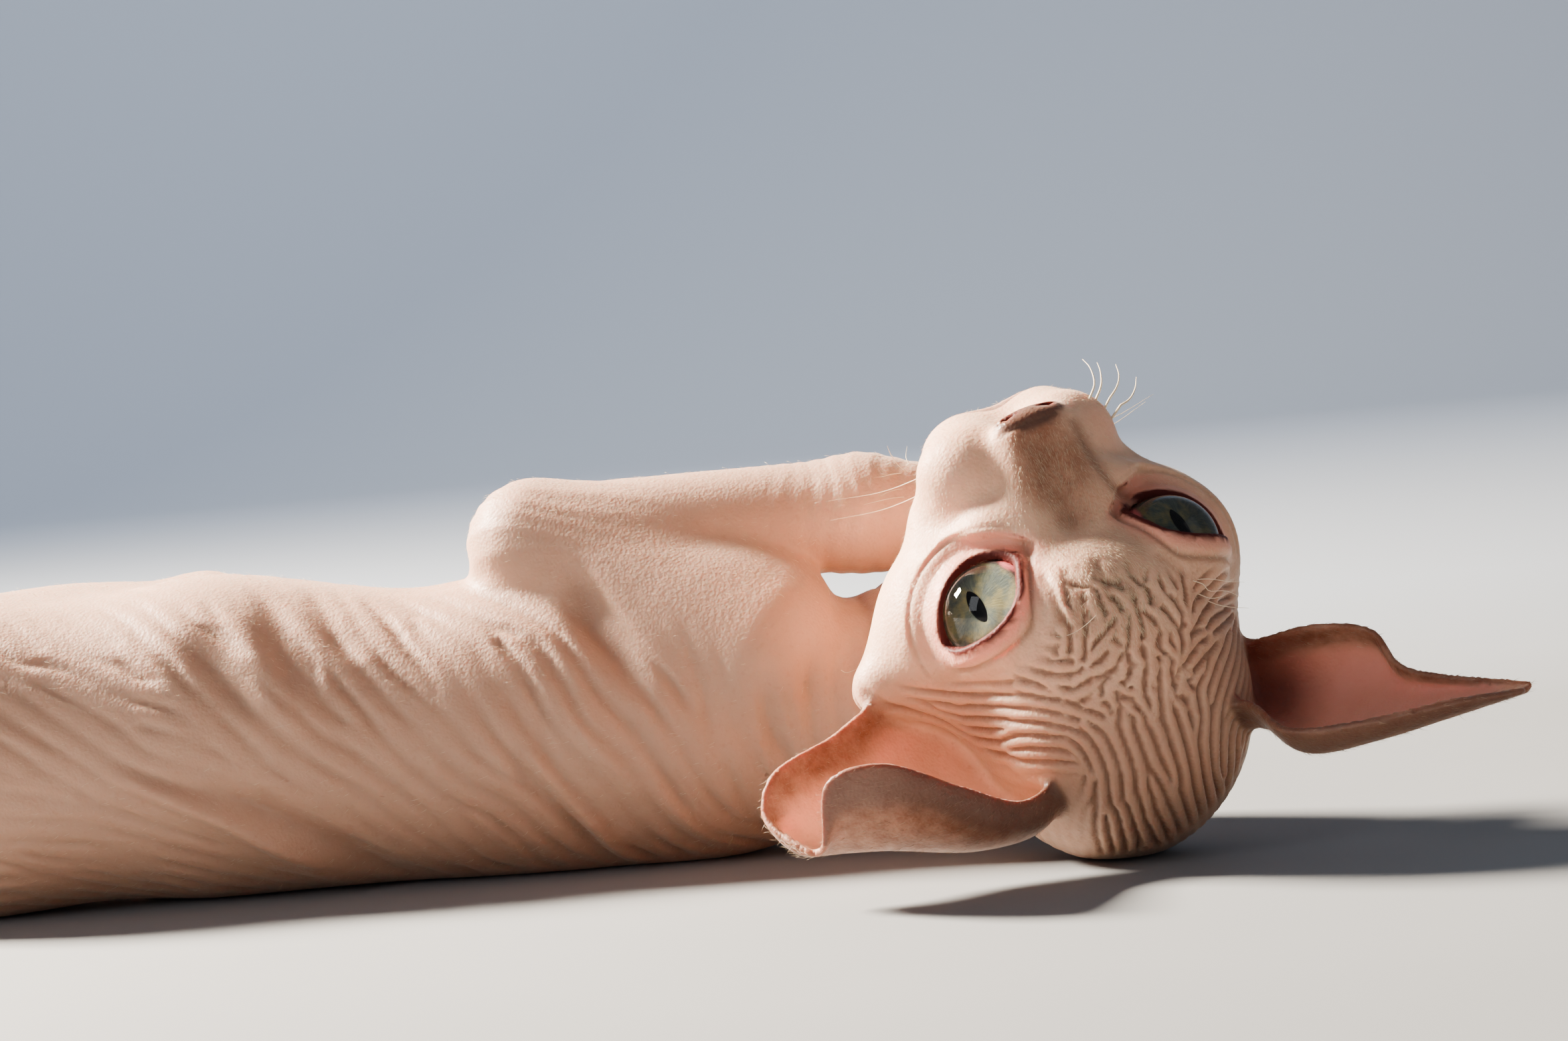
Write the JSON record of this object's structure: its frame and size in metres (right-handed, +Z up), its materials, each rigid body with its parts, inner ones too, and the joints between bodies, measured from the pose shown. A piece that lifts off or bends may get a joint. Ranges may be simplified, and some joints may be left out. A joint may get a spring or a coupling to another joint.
{
  "type": "sphynx kitten figure",
  "caption": "Life-size hairless kitten lying on its side with its head tipped back upside down, a still museum-type model.",
  "frame": {"origin": "middle of the footprint, on the floor the kitten lies on", "axes": "+X from the rump to the head, +Z up, the spine faces -Y and the belly and legs +Y"},
  "size_m": [0.3878, 0.2408, 0.0852],
  "materials": {
    "skin": "bare pinkish-beige skin, finely wrinkled, soft sheen",
    "ear_skin": "thin pink skin, brown at the rim",
    "nose_leather": "dark brown, finely pebbled, slightly moist",
    "eye": "wet clear cornea over a grey-green iris with a slit pupil"
  },
  "bodies": {
    "root": {"head": "skin", "lower_jaw": "skin", "neck": "skin", "chest": "skin", "belly": "skin", "rump": "skin", "foreleg_left_upper": "skin", "foreleg_left_lower": "skin", "foreleg_left_foot": "skin", "foreleg_left_paw": "skin", "foreleg_right_upper": "skin", "foreleg_right_lower": "skin", "foreleg_right_foot": "skin", "foreleg_right_paw": "skin", "hindleg_left_upper": "skin", "hindleg_left_lower": "skin", "hindleg_left_foot": "skin", "hindleg_left_paw": "skin", "hindleg_right_upper": "skin", "hindleg_right_lower": "skin", "hindleg_right_foot": "skin", "hindleg_right_paw": "skin", "tail_base": "skin", "tail_middle": "skin", "tail_tip": "skin", "ear_left": "ear_skin", "ear_right": "ear_skin", "nose": "nose_leather", "eye_left": "eye", "eye_right": "eye"}
  },
  "joints": []
}
